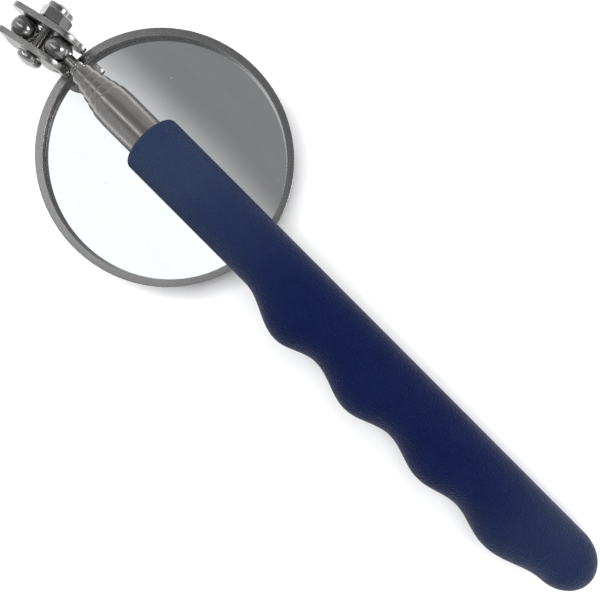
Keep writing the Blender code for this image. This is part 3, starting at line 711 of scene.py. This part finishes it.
def make_plate(name, side, node, material):
    """Plate with rolled edges, pressed ball seats and a screw hole."""
    edge = 0.16 * MM
    inner = side * PLATE_GAP
    outer = side * (PLATE_GAP + PLATE_THICKNESS)
    rings = []
    for k in range(5):
        a = pi / 2 * k / 4
        rings.append(plate_ring(PLATE_END - edge * (1 - sin(a)), inner + side * edge * (1 - cos(a))))
    for k in range(5):
        a = pi / 2 * k / 4
        rings.append(plate_ring(PLATE_END - edge * (1 - cos(a)), outer - side * edge * (1 - sin(a))))
    plate = add_piece(name, loft(rings), CLAMP, "clamp", material, "clamp_steel", [node])
    lay = Matrix.Rotation(-side * pi / 2, 4, "X")
    for ball_x in (0.0, BALL_SPACING):
        base = PLATE_GAP + 0.5 * PLATE_THICKNESS
        face = PLATE_GAP + PLATE_THICKNESS
        rim = sqrt(BULGE * BULGE - face * face)
        dome = [(0.0, base), (rim + 0.30 * MM, base), (rim + 0.30 * MM, face - 0.01 * MM)]
        dome += [(rim + 0.12 * MM, face + 0.02 * MM), (rim - 0.02 * MM, face + 0.09 * MM)]
        start = degrees(asin((face + 0.16 * MM) / BULGE))
        dome += [
            (BULGE * cos(radians(a)), BULGE * sin(radians(a)))
            for a in [start + (90.0 - start) * i / 12 for i in range(12)]
        ]
        dome.append((0.0, BULGE))
        bulge = turn(turn(lathe(dome, 56), lay), Matrix.Translation((ball_x, 0.0, 0.0)))
        cut(plate, [tool(bulge, CLAMP)], "UNION")
    seats = []
    for ball_x in (0.0, BALL_SPACING):
        seat = bmesh.new()
        bmesh.ops.create_uvsphere(
            seat, u_segments=56, v_segments=28, radius=SEAT,
            matrix=Matrix.Translation((ball_x, 0.0, 0.0)) @ Matrix.Rotation(pi / 2, 4, "X"),
        )
        seats.append(tool(seat, CLAMP))
    hole = bmesh.new()
    bmesh.ops.create_cone(
        hole, cap_ends=True, segments=48, radius1=1.37 * MM, radius2=1.37 * MM, depth=20.0 * MM,
        matrix=Matrix.Translation((BALL_SPACING / 2, 0.0, 0.0)) @ Matrix.Rotation(pi / 2, 4, "X"),
    )
    cut(plate, seats + [tool(hole, CLAMP)])
    plate.data.shade_smooth()
    plate.data.set_sharp_from_angle(angle=radians(38.0))
    return plate


SCREW_RADIUS = 1.22 * MM
SCREW_PITCH = 0.45 * MM
HEAD_RADIUS = 2.25 * MM
HEAD_HEIGHT = 1.9 * MM
UNDER_HEAD = PLATE_GAP + PLATE_THICKNESS + 0.3 * MM
NUT_FACE = PLATE_GAP + PLATE_THICKNESS + 0.35 * MM
NUT_HEIGHT = 3.4 * MM
NUT_HEX = 2.1 * MM
NUT_FLATS = 5.0 * MM
SCREW_TIP = -(NUT_FACE + NUT_HEIGHT + 0.3 * MM)


def make_screw(material, thread_material):
    """Pan head with a cross recess, and a rolled helical thread."""
    nut = CLAMP @ Matrix.Translation((BALL_SPACING / 2, 0.0, 0.0))
    axis = nut @ Matrix.Rotation(-pi / 2, 4, "X")       # local Z towards the head
    rim = 0.42 * HEAD_HEIGHT
    head = [(0.0, UNDER_HEAD, 0.0), (HEAD_RADIUS, UNDER_HEAD, 0.12 * MM)]
    head += [(HEAD_RADIUS, UNDER_HEAD + rim, 0.0)]
    head += [
        (HEAD_RADIUS * cos(radians(a)), UNDER_HEAD + rim + (HEAD_HEIGHT - rim) * sin(radians(a)), 0.0)
        for a in (12, 24, 36, 48, 60, 72, 82)
    ]
    head += [(0.0, UNDER_HEAD + HEAD_HEIGHT, 0.0)]
    piece = add_piece(
        "clamp_screw_head", lathe(fillet(head), 64), axis, "clamp", material,
        "fastener_steel", ["clamp_screw"], smooth=40.0,
    )
    arms = []
    for k in range(2):
        arm = bmesh.new()
        bmesh.ops.create_cube(arm, size=1.0)
        for vert in arm.verts:
            deep = vert.co.z < 0.0
            vert.co.x *= (1.3 if deep else 2.3) * MM
            vert.co.y *= (0.34 if deep else 0.52) * MM
            vert.co.z *= 2.0 * MM
        turn(arm, Matrix.Translation((0.0, 0.0, UNDER_HEAD + HEAD_HEIGHT + 0.1 * MM)))
        turn(arm, Matrix.Rotation(radians(28.0) + pi / 2 * k, 4, "Z"))
        arms.append(tool(arm, axis))
    cut(piece, arms)
    piece.data.shade_smooth()
    piece.data.set_sharp_from_angle(angle=radians(35.0))
    sides = 40
    rows = int((UNDER_HEAD - SCREW_TIP) / (SCREW_PITCH / 10))
    rings = []
    for row in range(rows + 1):
        z = SCREW_TIP + (UNDER_HEAD - SCREW_TIP) * row / rows
        fade = min(1.0, (z - SCREW_TIP) / (0.3 * MM), (UNDER_HEAD - z) / (0.3 * MM))
        ring = []
        for i in range(sides):
            phase = (z / SCREW_PITCH - i / sides) % 1.0
            crest = min(1.0, max(0.0, 1.25 - abs(2.0 * phase - 1.0) * 1.5))
            depth = 0.25 * MM
            r = SCREW_RADIUS - depth + depth * crest * max(0.0, fade)
            ring.append(Vector((r * cos(2 * pi * i / sides), r * sin(2 * pi * i / sides), z)))
        rings.append(ring)
    add_piece(
        "clamp_screw_thread", loft(rings), axis, "clamp", thread_material, "fastener_steel", smooth=60.0
    )


def make_nut(material, nylon):
    """Hexagon lock nut with chamfered corners and a rolled collar over its nylon ring."""
    nut = CLAMP @ Matrix.Translation((BALL_SPACING / 2, 0.0, 0.0))
    axis = nut @ Matrix.Rotation(pi / 2, 4, "X")        # local Z away from the plates
    bore = 1.37 * MM
    collar = NUT_FLATS / 2 - 0.1 * MM
    corner = NUT_FLATS / 2 / cos(pi / 6)
    hex_top = NUT_FACE + NUT_HEX
    top = NUT_FACE + NUT_HEIGHT
    slope = (corner - NUT_FLATS / 2) * 0.58
    outline = [
        (bore, NUT_FACE, 0.1 * MM), (NUT_FLATS / 2 - 0.05 * MM, NUT_FACE, 0.05 * MM),
        (corner + 0.2 * MM, NUT_FACE + slope + 0.12 * MM, 0.0),
        (corner + 0.2 * MM, hex_top - slope, 0.0),
        (NUT_FLATS / 2 - 0.02 * MM, hex_top + 0.05 * MM, 0.15 * MM),
        (collar, hex_top + 0.28 * MM, 0.15 * MM),
        (collar, top - 0.1 * MM, 0.45 * MM), (bore + 0.35 * MM, top, 0.12 * MM),
        (bore + 0.35 * MM, top - 0.3 * MM, 0.0), (bore, hex_top + 0.1 * MM, 0.0),
    ]
    piece = add_piece(
        "lock_nut_skin", lathe(fillet(outline), 96), axis, "lock_nut", material,
        "fastener_steel", ["lock_nut"], smooth=28.0,
    )
    hexagon = bmesh.new()
    bmesh.ops.create_cone(
        hexagon, cap_ends=True, segments=6, radius1=corner, radius2=corner, depth=14.0 * MM,
        matrix=Matrix.Translation((0.0, 0.0, (NUT_FACE + top) / 2)),
    )
    cut(piece, [tool(hexagon, axis)], "INTERSECT")
    piece.data.shade_smooth()
    piece.data.set_sharp_from_angle(angle=radians(24.0))
    ring = [
        (SCREW_RADIUS + 0.03 * MM, hex_top + 0.2 * MM, 0.0), (bore + 0.33 * MM, hex_top + 0.2 * MM, 0.0),
        (bore + 0.33 * MM, top - 0.12 * MM, 0.06 * MM), (SCREW_RADIUS + 0.03 * MM, top - 0.2 * MM, 0.06 * MM),
    ]
    add_piece(
        "nylon_ring_skin", lathe(fillet(ring), 48), axis, "lock_nut", nylon, "nylon", ["nylon_ring"]
    )


# ---------------------------------------------------------------- mirror head

RIM = 25.4 * MM
LIP = 1.5 * MM
BEZEL_DEPTH = 4.6 * MM


def make_mirror_head(bezel_steel, back_steel, glass, pad):
    inner = RIM - LIP
    skirt = RIM - 0.45 * MM
    outline = [
        (inner, -1.5 * MM, 0.05 * MM), (inner, 0.0, 0.10 * MM), (RIM, 0.0, 0.16 * MM),
        (RIM, -BEZEL_DEPTH, 0.30 * MM), (RIM - 2.0 * MM, -BEZEL_DEPTH, 0.15 * MM),
        (RIM - 2.0 * MM, -BEZEL_DEPTH + 0.4 * MM, 0.05 * MM),
        (skirt, -BEZEL_DEPTH + 0.4 * MM, 0.0), (skirt, -1.5 * MM, 0.0),
    ]
    add_piece(
        "mirror_bezel_skin", lathe(fillet(outline, 5), 192), MIRROR, "mirror_head", bezel_steel,
        "bezel_steel", ["mirror_bezel"],
    )
    reach = skirt - 0.1 * MM
    disc = [
        (0.0, -RECESS, 0.0), (reach - 0.5 * MM, -RECESS, 0.0), (reach, -RECESS, 0.08 * MM),
        (reach, -3.1 * MM, 0.0), (0.0, -3.1 * MM, 0.0),
    ]
    add_piece(
        "mirror_glass_skin", lathe(fillet(disc), 128), MIRROR, "mirror_head", glass, "mirror",
        ["mirror_glass"],
    )
    foam_disc = [
        (0.0, -3.25 * MM, 0.0), (23.1 * MM, -3.25 * MM, 0.0), (23.1 * MM, -3.55 * MM, 0.0),
        (0.0, -3.55 * MM, 0.0),
    ]
    add_piece(
        "foam_pad_skin", lathe(fillet(foam_disc), 96), MIRROR, "mirror_head", pad, "foam",
        ["foam_pad"],
    )
    pan = 21.6 * MM
    back = [
        (0.0, -4.55 * MM, 0.0), (pan - 0.9 * MM, -4.55 * MM, 0.3 * MM), (pan, -3.7 * MM, 0.2 * MM),
        (reach, -3.7 * MM, 0.05 * MM), (reach, -4.1 * MM, 0.05 * MM),
        (pan + 0.2 * MM, -4.1 * MM, 0.3 * MM), (pan - 0.7 * MM, -4.95 * MM, 0.4 * MM),
        (0.0, -4.95 * MM, 0.0),
    ]
    add_piece(
        "mirror_back_skin", lathe(fillet(back), 128), MIRROR, "mirror_head", back_steel,
        "back_steel", ["mirror_back"],
    )


STEM_ANGLE = radians(50.0)
TANG_TOP = -5.1 * MM
TANG_THICK = 1.0 * MM
TANG_HALF = 3.5 * MM
BARREL = 1.83 * MM
RIVETS = (11.0 * MM, 18.0 * MM)


def make_bracket(steel, stud_steel):
    """Strip behind the mirror, bent up along the stem and curled round the stud."""
    ball = MIRROR.inverted() @ mirror_ball_place
    along = Vector((-cos(STEM_ANGLE), 0.0, -sin(STEM_ANGLE)))
    across = Vector((sin(STEM_ANGLE), 0.0, -cos(STEM_ANGLE)))
    middle = TANG_TOP - TANG_THICK / 2
    lay = ball + across * (BARREL + 0.02 * MM - TANG_THICK / 2)
    reach = (lay.z - middle) / sin(STEM_ANGLE)
    bend = lay + along * reach
    top = lay + along * 5.62 * MM
    start = Vector((7.0 * MM, 0.0, middle))
    radius = 1.6 * MM
    before = (start - bend).normalized()
    after = (top - bend).normalized()
    path = [start + (bend + before * radius * 1.2 - start) * i / 10 for i in range(11)]
    first = bend + before * radius * 1.2
    last = bend + after * radius * 1.2
    for k in range(1, 9):
        t = k / 9
        path.append((1 - t) ** 2 * first + 2 * t * (1 - t) * bend + t * t * last)
    path += [last + (top - last) * i / 6 for i in range(7)]
    rings = []
    for i, point in enumerate(path):
        ahead = path[min(i + 1, len(path) - 1)] - path[max(i - 1, 0)]
        normal = Vector((ahead.z, 0.0, -ahead.x)).normalized()
        if normal.z < 0.0:
            normal = -normal
        distance = point.x - 7.0 * MM
        half = TANG_HALF
        if distance < TANG_HALF:
            half = sqrt(max(0.02, 1.0 - ((TANG_HALF - distance) / TANG_HALF) ** 2)) * TANG_HALF
        narrow = max(0.0, min(1.0, (point.x - RIM - 1.0 * MM) / (1.5 * MM)))
        narrow = narrow * narrow * (3.0 - 2.0 * narrow)
        half *= 1.0 - 0.48 * narrow
        thick = TANG_THICK / 2
        edge = 0.15 * MM
        section = []
        for sy, sz in ((1, 1), (-1, 1), (-1, -1), (1, -1)):
            for k in range(4):
                a = pi / 2 * k / 3
                if sy * sz > 0:
                    dy, dz = cos(a), sin(a)
                else:
                    dy, dz = sin(a), cos(a)
                y = sy * (half - edge + edge * dy)
                z = sz * (thick - edge + edge * dz)
                section.append(point + normal * z + Vector((0.0, y, 0.0)))
        rings.append(section)
    add_piece(
        "mirror_bracket_skin", loft(rings), MIRROR, "mirror_head", steel, "back_steel",
        ["mirror_bracket"], smooth=40.0,
    )
    to_stem = Vector((0.0, 0.0, 1.0)).rotation_difference(along).to_matrix().to_4x4()
    stem = MIRROR @ Matrix.Translation(ball) @ to_stem
    curl = [
        (1.3 * MM, 5.5 * MM, 0.08 * MM), (BARREL, 5.5 * MM, 0.15 * MM),
        (BARREL, 9.4 * MM, 0.15 * MM), (0.0, 9.4 * MM, 0.0), (0.0, 9.0 * MM, 0.0),
        (1.3 * MM, 9.0 * MM, 0.0),
    ]
    add_piece(
        "bracket_curl", lathe(fillet(curl), 56), stem, "mirror_head", steel, "back_steel"
    )
    for number, place in enumerate(RIVETS, start=1):
        head = [(0.0, -6.25 * MM, 0.0), (1.6 * MM, -6.25 * MM, 0.08 * MM)]
        head += [
            (1.6 * MM * cos(radians(a)), (-6.28 - 0.62 * sin(radians(a))) * MM, 0.0)
            for a in (10, 25, 40, 55, 70, 82)
        ]
        head += [(0.0, -6.90 * MM, 0.0)]
        add_piece(
            f"rivet_{number}_skin", lathe(fillet(head), 48),
            MIRROR @ Matrix.Translation((place, 0.0, 0.0)), "mirror_head", stud_steel,
            "back_steel", [f"rivet_{number}"],
        )
    collar = [
        (0.0, BALL_RADIUS + 0.02 * MM, 0.0), (1.1 * MM, BALL_RADIUS - 0.12 * MM, 0.0),
        (NECK_RADIUS, BALL_RADIUS + 0.25 * MM, 0.2 * MM), (NECK_RADIUS, 4.68 * MM, 0.1 * MM),
        (1.55 * MM, 4.8 * MM, 0.1 * MM),
        (1.55 * MM, 5.3 * MM, 0.1 * MM), (1.15 * MM, 5.35 * MM, 0.0), (1.15 * MM, 8.8 * MM, 0.1 * MM),
        (0.0, 8.8 * MM, 0.0),
    ]
    add_piece(
        "mirror_stud_skin", lathe(fillet(collar), 56), stem, "mirror_stud", stud_steel,
        "stud_steel", ["mirror_stud"],
    )


# ---------------------------------------------------------------- studio

FLOOR_HALF = 3.0
FLOOR_DROP = 0.00002
CEILING_HALF = 2.6
CEILING_HEIGHT = 3.0
CEILING_TURN = radians(-133.4)
CEILING_CENTRE = (0.151, -0.036)
WORLD_STRENGTH = 0.60
# Name, place, diameter, power in watts, and whether polished metal shows it
LIGHTS = [
    ("overhead", (0.10, 0.05, 1.30), 1.2, 13.0, False),
    ("head_side", (0.55, 0.12, 0.80), 0.30, 2.4, False),
    ("tail_side", (-0.60, -0.40, 0.55), 0.34, 2.4, True),
]


def make_floor():
    n = Nodes("pale_floor", own_frame=False)
    patch = n.noise(14.0, detail=3.0)
    colour = n.mix(n.ramp(patch, 0.3, 0.7), (0.90, 0.90, 0.90), (0.87, 0.87, 0.875))
    material = n.finish(colour, n.ramp(patch, 0.3, 0.7, 0.55, 0.62))
    solid = bmesh.new()
    bmesh.ops.create_grid(solid, x_segments=1, y_segments=1, size=FLOOR_HALF)
    mesh = bpy.data.meshes.new("floor")
    solid.to_mesh(mesh)
    solid.free()
    mesh.materials.append(material)
    floor = bpy.data.objects.new("floor", mesh)
    floor.location = (0.0, 0.0, cad_box[0][2] - FLOOR_DROP)
    bpy.context.scene.collection.objects.link(floor)


def make_ceiling():
    """Plain studio ceiling: a bright soft side fading into a grey one, and one strip light."""
    n = Nodes("ceiling_tones", own_frame=False)
    p, q, _ = n.split()

    def plus(first, second):
        return n.math("ADD", first, second)

    def times(first, second):
        return n.math("MULTIPLY", first, second)

    drift = times(n.math("SUBTRACT", n.noise(1.1, detail=1.0), 0.5), 0.25)
    shade = n.soft(plus(plus(p, q), drift), -0.22, 0.42)
    near = n.mix(shade, (1.10, 1.12, 1.13), (0.235, 0.235, 0.240))
    far = n.soft(n.math("SQRT", plus(times(p, p), times(q, q))), 0.68, 0.90)
    ahead = plus(times(p, -0.687), times(q, 0.727))
    aside = plus(times(p, -0.727), times(q, -0.687))
    room = n.mix(n.soft(ahead, -0.7, 0.9), (0.17, 0.17, 0.175), (0.34, 0.34, 0.34))
    strip = times(n.soft(aside, 0.37, 0.47), n.soft(aside, 0.79, 0.69))
    room = n.mix(times(strip, n.soft(ahead, 0.45, 0.65)), room, (2.6, 2.6, 2.55))
    tone = n.mix(far, near, room)
    emission = n.add("ShaderNodeEmission")
    n.link(tone, emission.inputs["Color"])
    n.tree.links.new(
        emission.outputs["Emission"], n.tree.nodes["Material Output"].inputs["Surface"]
    )
    solid = bmesh.new()
    bmesh.ops.create_grid(solid, x_segments=1, y_segments=1, size=CEILING_HALF)
    mesh = bpy.data.meshes.new("ceiling")
    solid.to_mesh(mesh)
    solid.free()
    mesh.materials.append(n.material)
    ceiling = bpy.data.objects.new("ceiling", mesh)
    ceiling.location = (*CEILING_CENTRE, CEILING_HEIGHT)
    ceiling.rotation_euler = (0.0, 0.0, CEILING_TURN)
    bpy.context.scene.collection.objects.link(ceiling)


def make_lights():
    world = bpy.data.worlds.new("studio")
    world.use_nodes = True
    background = world.node_tree.nodes["Background"]
    background.inputs["Color"].default_value = (0.94, 0.96, 1.0, 1.0)
    background.inputs["Strength"].default_value = WORLD_STRENGTH
    bpy.context.scene.world = world
    bpy.context.scene.view_settings.view_transform = "Standard"
    for name, place, size, power, shows in LIGHTS:
        data = bpy.data.lights.new(name, "AREA")
        data.shape = "DISK"
        data.size = size
        data.energy = power
        light = bpy.data.objects.new(name, data)
        light.location = place
        light.rotation_euler = (-Vector(place)).to_track_quat("-Z", "Y").to_euler()
        light.visible_glossy = shows
        bpy.context.scene.collection.objects.link(light)


# ---------------------------------------------------------------- build


def dress_hidden_nodes(spring, plug):
    """CAD pieces that keep their own shape inside the tubes."""
    for name, node in frame["nodes"].items():
        if name.startswith("friction_spring"):
            node.data.materials.clear()
            node.data.materials.append(spring)
        elif name == "tube_end_plug":
            node.data.materials.clear()
            node.data.materials.append(plug)


def build():
    make_camera()
    make_floor()
    make_ceiling()
    make_lights()
    ball = polished_steel("polished_ball", (0.44, 0.435, 0.43), 0.07)
    fastener = polished_steel("bright_plating", (0.48, 0.475, 0.465), 0.10)
    stud = polished_steel("stud_plating", (0.46, 0.45, 0.44), 0.15)
    make_grip(vinyl())
    make_tubes(drawn_steel("drawn_steel"))
    make_rod_stud(stud)
    make_ball("rod_ball_skin", TUBE_AXIS, "rod_ball", "rod_ball", ball, neck_up=False)
    make_ball("mirror_ball_skin", STEM, "mirror_ball", "mirror_ball", ball, neck_up=True)
    plate = stamped_steel()
    make_plate("clamp_plate_head_side_skin", 1.0, "clamp_plate_head_side", plate)
    make_plate("clamp_plate_nut_side_skin", -1.0, "clamp_plate_nut_side", plate)
    make_screw(fastener, stud)
    make_nut(fastener, moulded("nylon", (0.62, 0.62, 0.57)))
    bezel = turned_steel("turned_bezel", (0.44, 0.435, 0.43), 0.25)
    back = drawn_steel("pressed_back", (0.47, 0.465, 0.455), 0.27, lines=False)
    make_mirror_head(bezel, back, mirror_glass(), foam())
    make_bracket(back, stud)
    dress_hidden_nodes(
        spring_bronze(), moulded("plug_plastic", (0.60, 0.59, 0.55), own_frame=False)
    )
    place_pieces()


build()
